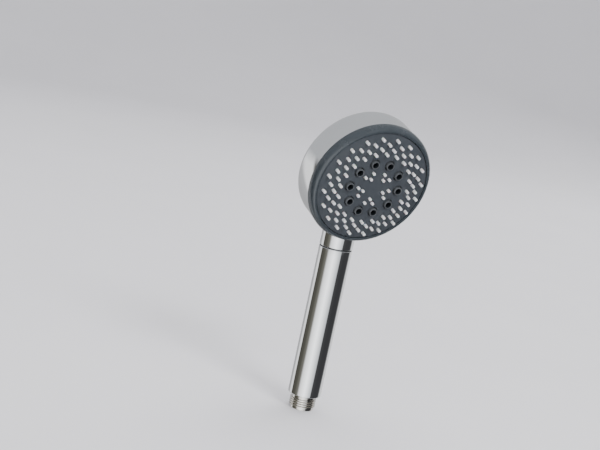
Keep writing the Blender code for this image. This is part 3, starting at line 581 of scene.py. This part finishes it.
@dataclass
class Handle:
    """Chrome tube with its rolled lower end, and the threaded inlet under it."""

    radius: float = 13.1 * MM
    wall: float = 1.0 * MM
    lip: float = 2.0 * MM
    opening: float = 10.78 * MM
    low: float = 12.0 * MM
    soft: float = 0.9 * MM
    stretches: int = 6
    steps: int = 128
    thread_radius: float = 10.48 * MM
    thread_depth: float = 1.16 * MM
    thread_pitch: float = 1.814 * MM
    thread_length: float = 9.6 * MM
    inlet_radius: float = 6.5 * MM
    inlet_soft: float = 0.5 * MM
    flange: float = 2.7 * MM
    gap: float = 0.3 * MM

    def tube(self) -> bpy.types.Object:
        """Build the tube.

        Returns:
            The finished chrome tube.
        """
        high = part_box("handle_shell")[1].z
        bore = self.radius - self.wall
        outer = arc((self.radius - self.soft, self.low + self.soft), (self.soft, self.soft),
                    -90, 0, 6)
        rim = arc((self.radius - self.gap, high - self.gap), (self.gap, self.gap), 0, 90, 4)
        profile = [(self.opening, self.low), *outer]
        for i in range(1, self.stretches):
            profile.append((self.radius, self.low + (high - self.low) * i / self.stretches))
        profile += [*rim, (bore, high), (bore, self.low + self.lip),
                    (self.opening, self.low + self.lip)]
        tube = lathe("handle_tube", profile, self.steps)
        set_down(tube, UPRIGHT)
        fit_out(tube, Body.HANDSET, Slot.CHROME_TUBE, CHROME.material(), "handle_shell")
        return tube

    def thread(self) -> bpy.types.Object:
        """Sweep one helical ridge, from a drawn triangle and a screw.

        Returns:
            The ridge, closed at both ends.
        """
        start_clean()
        minor = self.thread_radius - self.thread_depth
        bpy.ops.mesh.primitive_circle_add(vertices=4, radius=self.thread_pitch * 0.45,
                                          fill_type="NOTHING")
        ridge = bpy.context.object
        ridge.name = "thread_ridge"
        outline = ((minor - self.gap, -0.42), (self.thread_radius, -0.09),
                   (self.thread_radius, 0.09), (minor - self.gap, 0.42))
        for vert, (radius, height) in zip(ridge.data.vertices, outline):
            vert.co = (radius, 0, height * self.thread_pitch)
        turns = int((self.thread_length - self.thread_pitch) / self.thread_pitch)
        modify(ridge, "SCREW", axis="Z", angle=tau, screw_offset=self.thread_pitch,
               iterations=turns, steps=48, render_steps=48, use_merge_vertices=True)
        bpy.ops.object.mode_set(mode="EDIT")
        bpy.ops.mesh.select_all(action="DESELECT")
        bpy.ops.mesh.select_non_manifold()
        bpy.ops.mesh.fill()
        bpy.ops.mesh.select_all(action="SELECT")
        bpy.ops.mesh.normals_make_consistent(inside=False)
        bpy.ops.transform.translate(value=(0, 0, self.thread_pitch))
        bpy.ops.object.mode_set(mode="OBJECT")
        return ridge

    def inlet(self) -> bpy.types.Object:
        """Build the inlet: a bored core, its flange and the thread's ridge.

        Returns:
            The finished inlet.
        """
        minor = self.thread_radius - self.thread_depth
        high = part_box("inlet_spigot")[1].z
        flange_low = self.low + self.lip + self.gap
        flange_radius = self.radius - self.wall - self.gap
        core = lathe("threaded_inlet", round_corners(
            [(self.inlet_radius, 0), (minor, 0), (minor, flange_low), (flange_radius, flange_low),
             (flange_radius, flange_low + self.flange), (minor, flange_low + self.flange),
             (minor, high), (self.inlet_radius, high)], self.inlet_soft), 64)
        pick(self.thread(), core)
        bpy.ops.object.join()
        set_down(core, UPRIGHT, 40)
        fit_out(core, Body.HANDSET, Slot.PLATED_BRASS, NICKEL.material(), "inlet_spigot")
        return core

    def build(self) -> None:
        """Build both pieces of the handle."""
        self.tube()
        self.inlet()


# ---------------------------------------------------------------- head

@dataclass
class Head:
    """Chrome drum with its rounded neck, in one casting."""

    radius: float = 49.6 * MM
    front: float = -1.8 * MM
    edge_depth: float = 25.5 * MM
    back_depth: float = 29.0 * MM
    edge_radius: float = 5.0 * MM
    wall: float = 2.0 * MM
    neck_radius: float = 13.1 * MM
    neck_bore: float = 10.1 * MM
    bore_short: float = 6.0 * MM
    tail_step: float = 1.3 * MM
    seam_gap: float = 0.3 * MM
    mouth_reach: float = 20.0 * MM
    cavity_reach: float = 10.0 * MM
    soft: float = 0.3 * MM
    bezel_room: float = 50.5 * MM
    bezel_radius: float = 50.0 * MM
    exit_depth: float = 13.3 * MM
    mouth_step: float = 0.15 * MM
    steps: int = 160
    neck_steps: int = 128

    def outline(self, inset: float) -> Profile:
        """Rounded edge and domed back of the drum.

        Args:
            inset: how far the outline lies inside the drum's surface.

        Returns:
            The profile from the drum's side to the middle of its back.
        """
        turn_in = self.radius - self.edge_radius
        turn_down = -(self.edge_depth - self.edge_radius)
        reach = self.edge_radius - inset
        points = arc((turn_in, turn_down), (reach, reach), 0, -90, 6)
        rise = self.back_depth - self.edge_depth
        for share in (0.93, 0.85, 0.75, 0.6, 0.45, 0.3, 0.15):
            points.append((turn_in * share, -self.back_depth + inset + rise * share ** 2))
        return points + [(0, -self.back_depth + inset)]

    def casting(self) -> bpy.types.Object:
        """Build the casting: drum and neck joined, then hollowed.

        Returns:
            The finished casting.
        """
        front = self.front
        side = [(self.radius - 2 * self.soft, front),
                *arc((self.radius - self.soft, front - self.soft), (self.soft, self.soft),
                     90, 0, 3)]
        drum = lathe("head_casting", side + self.outline(0), self.steps, closed=False)
        set_down(drum, SPRAY_PLACE)
        seam_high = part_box("seam_gasket")[1].z + self.seam_gap
        tail_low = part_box("head_shell")[0].z
        ball_middle = self.neck_middle()
        tail = self.neck_radius - self.tail_step
        neck = lathe("neck", [
            (tail, tail_low), (tail, seam_high),
            (self.neck_radius - self.soft, seam_high),
            *arc((self.neck_radius - self.soft, seam_high + self.soft),
                 (self.soft, self.soft), -60, 0, 3),
            *arc((0, ball_middle), (self.neck_radius, self.neck_radius), 0, 84, 14),
            (0, ball_middle + self.neck_radius)], self.neck_steps, closed=False)
        mouth = lathe("mouth", [(self.bezel_room, front - self.mouth_step),
                                (self.bezel_room, self.mouth_reach)], self.steps, closed=False)
        cap_open(mouth)
        set_down(mouth, SPRAY_PLACE)
        combine(neck, mouth, "DIFFERENCE")
        combine(drum, neck, "UNION")
        inside = self.radius - self.wall
        cavity = lathe("cavity", [(inside, self.cavity_reach)] + self.outline(self.wall),
                       self.steps, closed=False)
        set_down(cavity, SPRAY_PLACE)
        combine(drum, cavity, "DIFFERENCE")
        bore = lathe("bore", [(self.neck_bore, tail_low - MM),
                              (self.neck_bore, ball_middle - self.bore_short)], 64, closed=False)
        cap_open(bore)
        combine(drum, bore, "DIFFERENCE")
        set_down(drum, UPRIGHT, 30)
        fit_out(drum, Body.HANDSET, Slot.CHROME_CASTING, CAST_CHROME.material(), "head_shell")
        return drum

    def neck_middle(self) -> float:
        """Find where the neck's axis meets the bezel's outline.

        Returns:
            The height of that point.
        """
        lean = asin(-SPRAY_PLACE.col[2].z)
        depth = self.exit_depth + self.bezel_radius * tan(lean)
        return SPRAY_PLACE.translation.z + depth * sin(lean) - self.bezel_radius / cos(lean)

    def build(self) -> None:
        """Build the head."""
        self.casting()


def cap_open(piece: bpy.types.Object) -> None:
    """Close the open end of a turned shape with one face.

    Args:
        piece: the shape, with one open end.
    """
    pick(piece)
    bpy.ops.object.mode_set(mode="EDIT")
    bpy.ops.mesh.select_all(action="DESELECT")
    bpy.ops.mesh.select_non_manifold()
    bpy.ops.mesh.edge_face_add()
    bpy.ops.mesh.select_all(action="SELECT")
    bpy.ops.mesh.normals_make_consistent(inside=False)
    bpy.ops.object.mode_set(mode="OBJECT")


# ---------------------------------------------------------------- spray face

@dataclass
class SprayFace:
    """Bezel, plate, soft nozzles and massage jets, which all turn together."""

    radius: float = 50.0 * MM
    bezel_width: float = 4.4 * MM
    bezel_rise: float = 5.6 * MM
    bezel_back: float = -1.5 * MM
    bezel_flat: float = 0.5 * MM
    bezel_soft: float = 0.2 * MM
    plate_radius: float = 45.3 * MM
    rim_rise: float = 4.8 * MM
    rise: float = 7.2 * MM
    plate_back: float = 3.2 * MM
    plate_soft: float = 0.25 * MM
    cutter_low: float = 1.0 * MM
    flat_radius: float = 27.0 * MM
    mat_top: float = 2.9 * MM
    mat_back: float = 1.6 * MM
    mat_room: float = 0.5 * MM
    mat_edge: float = 0.4 * MM
    mat_hole: float = 6.9 * MM
    gap: float = 0.3 * MM
    first_ring: float = 40.8 * MM
    ring_spacing: float = 3.83 * MM
    rings: int = 4
    per_ring: int = 20
    jets: int = 10
    jet_ring: float = 21.0 * MM
    jet_radius: float = 3.2 * MM
    jet_bore: float = 2.3 * MM
    bore_shade_margin: float = 0.12 * MM
    jet_flange: float = 4.9 * MM
    jet_well: float = 4.0 * MM
    jet_proud: float = 1.9 * MM
    jet_soft: float = 0.55 * MM
    lip_soft: float = 0.3 * MM
    triplets: int = 5
    triplet_inner: float = 9.2 * MM
    triplet_outer: float = 13.3 * MM
    triplet_spread: float = radians(14.8)
    nozzle_root: float = 1.25 * MM
    nozzle_tip: float = 1.05 * MM
    nozzle_bore: float = 0.45 * MM
    nozzle_bore_depth: float = 1.6 * MM
    nozzle_soft: float = 0.28 * MM
    nozzle_proud: float = 3.4 * MM
    triplet_proud: float = 2.0 * MM
    pattern_turn: float = radians(-69.6)
    steps: int = 160
    outer_places: list[Vector] = field(default_factory=list)
    inner_places: list[Vector] = field(default_factory=list)

    def __post_init__(self) -> None:
        """Work out where every nozzle stands."""
        for ring in range(self.rings):
            offset = 0 if ring % 2 else pi / self.per_ring
            radius = self.first_ring - ring * self.ring_spacing
            for i in range(self.per_ring):
                self.outer_places.append(self.spot(radius, offset + tau * i / self.per_ring))
        for i in range(self.triplets):
            middle = 3 * pi / self.jets + tau * i / self.triplets
            self.inner_places.append(self.spot(self.triplet_inner, middle))
            for side in (-1, 1):
                angle = middle + side * self.triplet_spread
                self.inner_places.append(self.spot(self.triplet_outer, angle))

    def spot(self, radius: float, angle: float) -> Vector:
        """Place on the plate's plane, with the angle from the first jet."""
        angle += self.pattern_turn
        return Vector((radius * cos(angle), radius * sin(angle), 0))

    def jet_spots(self) -> list[Vector]:
        """Places of the jets."""
        return [self.spot(self.jet_ring, tau * i / self.jets) for i in range(self.jets)]

    def height(self, radius: float) -> float:
        """Height of the plate's front at a radius.

        Args:
            radius: distance from the spray axis.

        Returns:
            The front's height above the bezel's widest circle.
        """
        share = max(0.0, (radius - self.flat_radius) / (self.plate_radius - self.flat_radius))
        return self.rise + (self.rim_rise - self.rise) * share

    def bezel(self) -> bpy.types.Object:
        """Build the rounded ring.

        Returns:
            The finished bezel.
        """
        inner = self.radius - self.bezel_width
        reach = self.bezel_width - self.bezel_flat
        outline = [(self.radius - self.bezel_soft, self.bezel_back),
                   (self.radius, self.bezel_back + self.bezel_soft)]
        outline += arc((self.radius - reach, 0), (reach, self.bezel_rise), 0, 90, 16)
        outline += [(inner + 0.15 * MM, self.bezel_rise - 0.05 * MM),
                    (inner, self.bezel_rise - 0.25 * MM),
                    (inner, self.bezel_back)]
        ring = lathe("face_bezel", outline, self.steps)
        set_down(ring, SPRAY_PLACE)
        fit_out(ring, Body.SPRAY_FACE, Slot.SLATE, SLATE_GLOSS.material(), "bezel_ring")
        return ring

    def plate(self) -> bpy.types.Object:
        """Build the plate and cut a hole for every nozzle and jet.

        Returns:
            The finished plate.
        """
        soft = self.plate_soft
        front = [(self.plate_radius - 0.01 * MM, self.plate_back),
                 (self.plate_radius, self.rim_rise - soft),
                 (self.plate_radius - soft, self.rim_rise)]
        rows = 7
        for i in range(1, rows + 1):
            radius = self.plate_radius - (self.plate_radius - self.flat_radius) * i / rows
            front.append((radius, self.height(radius)))
        plate = lathe("face_disc", front + [(self.flat_radius * 0.5, self.rise), (0, self.rise)],
                      self.steps, closed=False)
        hole = self.nozzle_root + self.gap
        lift = Vector((0, 0, self.cutter_low))
        cutter = lathe("hole", [(hole, 0), (hole, self.rise)], 14, closed=False)
        cap_open(cutter)
        holes = copies(cutter, [place + lift for place in self.outer_places + self.inner_places],
                       "holes")
        combine(plate, holes, "DIFFERENCE")
        cutter = lathe("well", [(self.jet_well, 0), (self.jet_well, self.rise)], 32, closed=False)
        cap_open(cutter)
        wells = copies(cutter, [place + lift for place in self.jet_spots()], "wells")
        combine(plate, wells, "DIFFERENCE")
        set_down(plate, SPRAY_PLACE, 30)
        fit_out(plate, Body.SPRAY_FACE, Slot.SLATE, SLATE.material(), "face_plate")
        return plate

    def nozzle(self, length: float) -> bpy.types.Object:
        """Model one soft nozzle, from its root in the mat to its bored tip.

        Args:
            length: from root to tip.

        Returns:
            The nozzle, its tip at z = 0.
        """
        soft, deep = self.nozzle_soft, -self.nozzle_bore_depth
        return lathe("nozzle", [
            (self.nozzle_root, -length), (self.nozzle_tip, -soft),
            (self.nozzle_tip - soft, 0), (self.nozzle_bore, 0),
            (self.nozzle_bore * 0.9, deep), (0, deep)], 12, closed=False)

    def mat(self, name: str, node: str, inner: float, outer: float, places: list[Vector],
            proud: float) -> bpy.types.Object:
        """Build a mat with its nozzles.

        Args:
            name: the piece's name.
            node: the CAD node it stands for.
            inner: radius of its hole.
            outer: its outer radius.
            places: where its nozzles stand.
            proud: how far they stand out of the plate.

        Returns:
            The finished mat.
        """
        base = lathe(name, round_corners([(inner, self.mat_back), (outer, self.mat_back),
                                          (outer, self.mat_top), (inner, self.mat_top)],
                                         self.gap, 2), 96)
        root = (self.mat_top + self.mat_back) / 2
        for ring in sorted({round(place.length, 5) for place in places}):
            tip = self.height(ring) + proud
            tips = [place + Vector((0, 0, tip)) for place in places
                    if abs(place.length - ring) < self.gap]
            pick(copies(self.nozzle(tip - root), tips, "nozzles"), base)
            bpy.ops.object.join()
        set_down(base, SPRAY_PLACE, 40)
        fit_out(base, Body.SPRAY_FACE, Slot.SILICONE, SILICONE.material(), node)
        return base

    def jet(self, index: int, place: Vector) -> bpy.types.Object:
        """Build one massage jet.

        Args:
            index: its number, from 1.
            place: where it stands.

        Returns:
            The finished jet.
        """
        high = self.rise + self.jet_proud
        soft, lip = self.jet_soft, self.lip_soft
        profile = [(self.jet_bore, self.mat_back), (self.jet_flange, self.mat_back),
                   (self.jet_flange, self.mat_top), (self.jet_radius, self.mat_top),
                   *arc((self.jet_radius - soft, high - soft), (soft, soft), 0, 90, 6),
                   *arc((self.jet_bore + lip, high - lip), (lip, lip), 90, 180, 4)]
        jet = lathe(f"massage_jet_{index:02d}", profile, 32)
        # Faces within this margin of the bore take the near-black finish below: painted shade
        # inside the bore.
        bore = [face.index for face in jet.data.polygons
                if Vector(face.center[:2]).length < self.jet_bore + self.bore_shade_margin]
        set_down(jet, SPRAY_PLACE @ Matrix.Translation(place))
        fit_out(jet, Body.SPRAY_FACE, Slot.JET, JET_GREY.material(), f"jet_nozzle_{index:02d}")
        jet.data.materials.append(JET_BORE_SHADE.material())
        for face in bore:
            jet.data.polygons[face].material_index = 1
        return jet

    def build(self) -> None:
        """Build every piece of the spray face."""
        self.bezel()
        self.plate()
        self.mat("outer_nozzles", "nozzle_mat_outer",
                 self.jet_ring + self.jet_flange + self.mat_room, self.plate_radius - self.mat_edge,
                 self.outer_places, self.nozzle_proud)
        self.mat("inner_nozzles", "nozzle_mat_inner", self.mat_hole,
                 self.jet_ring - self.jet_flange - self.mat_room,
                 self.inner_places, self.triplet_proud)
        for index, place in enumerate(self.jet_spots(), 1):
            self.jet(index, place)


# ---------------------------------------------------------------- studio

@dataclass
class Studio:
    """Pale bowl-shaped floor, soft lights, a room for the chrome to reflect, and the camera."""

    bowl_radius: float = 4.0
    bowl_curve: float = 1.6
    bowl_height: float = 3.4
    lens: float = 72.0
    place: tuple[float, float, float] = (-0.48804, -0.78697, 0.29954)
    aim: tuple[float, float, float] = (80.297, -11.771, -27.889)
    ceiling_from: float = -2.0
    ceiling_full: float = 10.0
    ceiling: tuple[float, float, float] = (0.60, 0.61, 0.63)
    room: tuple[tuple[float, tuple[float, float, float]], ...] = (
        (-180, (0.50, 0.50, 0.51)), (-150, (0.52, 0.52, 0.53)), (-128, (0.62, 0.62, 0.63)),
        (-120, (1.30, 1.30, 1.31)), (-104, (1.35, 1.35, 1.35)), (-100, (0.085, 0.082, 0.070)),
        (-72, (0.11, 0.106, 0.088)), (-50, (0.22, 0.215, 0.185)), (-44, (0.60, 0.595, 0.58)),
        (-38, (1.30, 1.30, 1.29)), (-20, (1.90, 1.92, 1.93)), (0, (2.50, 2.53, 2.56)),
        (20, (1.70, 1.74, 1.77)), (34, (1.10, 1.13, 1.16)), (44, (0.90, 0.93, 0.96)),
        (50, (0.075, 0.075, 0.078)), (74, (0.055, 0.055, 0.058)), (112, (0.055, 0.055, 0.058)),
        (118, (0.14, 0.14, 0.14)), (124, (0.22, 0.22, 0.225)), (130, (0.80, 0.80, 0.81)),
        (142, (1.20, 1.20, 1.21)), (168, (0.60, 0.60, 0.61)), (180, (0.50, 0.50, 0.51)))

    def floor(self) -> bpy.types.Object:
        """Build the bowl that is floor and backdrop in one.

        Returns:
            The bowl.
        """
        flat = self.bowl_radius - self.bowl_curve
        profile = [(flat * share, 0) for share in (0.02, 0.3, 0.7)]
        profile += arc((flat, self.bowl_curve), (self.bowl_curve, self.bowl_curve), -90, 0, 20)
        profile.append((self.bowl_radius, self.bowl_height))
        profile += arc((self.bowl_radius - self.bowl_curve, self.bowl_height),
                       (self.bowl_curve, self.bowl_curve), 0, 60, 8)
        bowl = lathe("studio_floor", profile, 96, closed=False)
        pick(bowl)
        bpy.ops.object.mode_set(mode="EDIT")
        bpy.ops.mesh.select_all(action="SELECT")
        bpy.ops.mesh.flip_normals()
        bpy.ops.object.mode_set(mode="OBJECT")
        bpy.ops.object.shade_smooth()
        made = bpy.data.materials.new("studio_paper")
        made.use_nodes = True
        bench = NodeBench(made.node_tree)
        shader = made.node_tree.nodes["Principled BSDF"]
        where = bench.add("ShaderNodeTexCoord").outputs["Object"]
        cloud = bench.add("ShaderNodeTexNoise", Vector=where, Scale=5.0, Detail=3.0)
        bench.feed(shader.inputs["Base Color"],
                   bench.tint(cloud.outputs[0], (0.69, 0.685, 0.71, 1), (0.73, 0.725, 0.75, 1)))
        shader.inputs["Roughness"].default_value = 0.9
        bowl.data.materials.append(made)
        bowl.visible_glossy = False
        return bowl

    def round_camera(self, turn: float, distance: float, height: float) -> Vector:
        """Place round the object.

        Args:
            turn: degrees from the camera's side, positive to the camera's right.
            distance: how far from the handle.
            height: above the floor.

        Returns:
            The place.
        """
        towards = Vector((self.place[0], self.place[1], 0)).normalized()
        towards.rotate(Euler((0, 0, radians(turn))))
        return towards * distance + Vector((0, 0, height))

    def light(self, name: str, turn: float, distance: float, height: float,
              size: tuple[float, float], power: float) -> None:
        """Hang one soft light that looks at the head.

        Args:
            name: the light's name.
            turn: degrees from the camera's side.
            distance: how far from the handle.
            height: above the floor.
            size: its width and height.
            power: in watts.
        """
        data = bpy.data.lights.new(name, "AREA")
        data.shape = "RECTANGLE"
        data.size, data.size_y = size
        data.energy = power
        lamp = bpy.data.objects.new(name, data)
        bpy.context.scene.collection.objects.link(lamp)
        lamp.location = self.round_camera(turn, distance, height)
        target = Vector((0, 0, 0.12))
        lamp.rotation_euler = (target - lamp.location).to_track_quat("-Z", "Y").to_euler()
        lamp.visible_camera = False
        lamp.visible_glossy = False

    def camera(self) -> None:
        """Set up the camera."""
        data = bpy.data.cameras.new("camera")
        data.lens = self.lens
        data.sensor_width = 36.0
        data.clip_start, data.clip_end = 0.05, 20.0
        camera = bpy.data.objects.new("camera", data)
        bpy.context.scene.collection.objects.link(camera)
        camera.location = self.place
        camera.rotation_euler = [radians(angle) for angle in self.aim]
        bpy.context.scene.camera = camera

    def build(self) -> None:
        """Set up camera, floor, lights and surroundings."""
        self.camera()
        self.floor()
        self.light("front_softbox", -2, 2.3, 1.0, (2.6, 2.2), 46)
        self.light("key_softbox", 38, 2.2, 1.9, (0.9, 0.9), 60)
        self.light("top_softbox", 180, 0.6, 2.6, (2.2, 2.2), 55)
        self.light("back_softbox", 150, 2.4, 1.3, (1.6, 1.6), 25)
        self.surroundings()

    def surroundings(self) -> None:
        """Paint the room that the chrome reflects: bright front, dark sides, pale wall behind."""
        world = bpy.data.worlds.new("studio_room")
        bpy.context.scene.world = world
        world.use_nodes = True
        bench = NodeBench(world.node_tree)
        where = bench.add("ShaderNodeTexCoord").outputs["Generated"]
        towards = self.round_camera(0, 1, 0)
        right = self.round_camera(90, 1, 0)
        shares = []
        for direction in (right, towards):
            dot = world.node_tree.nodes.new("ShaderNodeVectorMath")
            dot.operation = "DOT_PRODUCT"
            bench.feed(dot.inputs[0], where)
            bench.feed(dot.inputs[1], direction)
            shares.append(dot.outputs["Value"])
        turn = bench.math("ARCTAN2", *shares)
        ramp = world.node_tree.nodes.new("ShaderNodeValToRGB")
        bench.feed(ramp.inputs[0], bench.math("ADD", bench.math("DIVIDE", turn, tau), 0.5))
        stops = ramp.color_ramp.elements
        while len(stops) > 1:
            stops.remove(stops[-1])
        for index, (angle, colour) in enumerate(self.room):
            stop = stops[0] if index == 0 else stops.new(angle / 360 + 0.5)
            stop.position = angle / 360 + 0.5
            stop.color = (*colour, 1)
        split = bench.add("ShaderNodeSeparateXYZ", Vector=where)
        overhead = bench.add("ShaderNodeMapRange", Value=split.outputs["Z"])
        overhead.inputs["From Min"].default_value = sin(radians(self.ceiling_from))
        overhead.inputs["From Max"].default_value = sin(radians(self.ceiling_full))
        colour = bench.tint(overhead.outputs[0], ramp.outputs["Color"], (*self.ceiling, 1))
        air = world.node_tree.nodes["Background"]
        bench.feed(air.inputs["Color"], colour)
        air.inputs["Strength"].default_value = 1.0


def dress_nodes() -> None:
    """Give every CAD node that stays its finish."""
    for finish, nodes in NODE_FINISHES.items():
        for name in nodes:
            mesh = frame["nodes"][name].data
            if mesh.materials:
                for index in range(len(mesh.materials)):
                    mesh.materials[index] = finish.material()
            else:
                mesh.materials.append(finish.material())
        LOG.info("%s: %d nodes", finish.name, len(nodes))


def main() -> None:
    """Build the shower head's looks and the studio."""
    logging.basicConfig(level=logging.INFO, format="%(name)s %(message)s")
    for part in (Studio(), Handle(), Head(), SprayFace()):
        LOG.info("building %s", type(part).__name__)
        part.build()
    dress_nodes()
    start_clean()


if __name__ == "__main__":
    main()
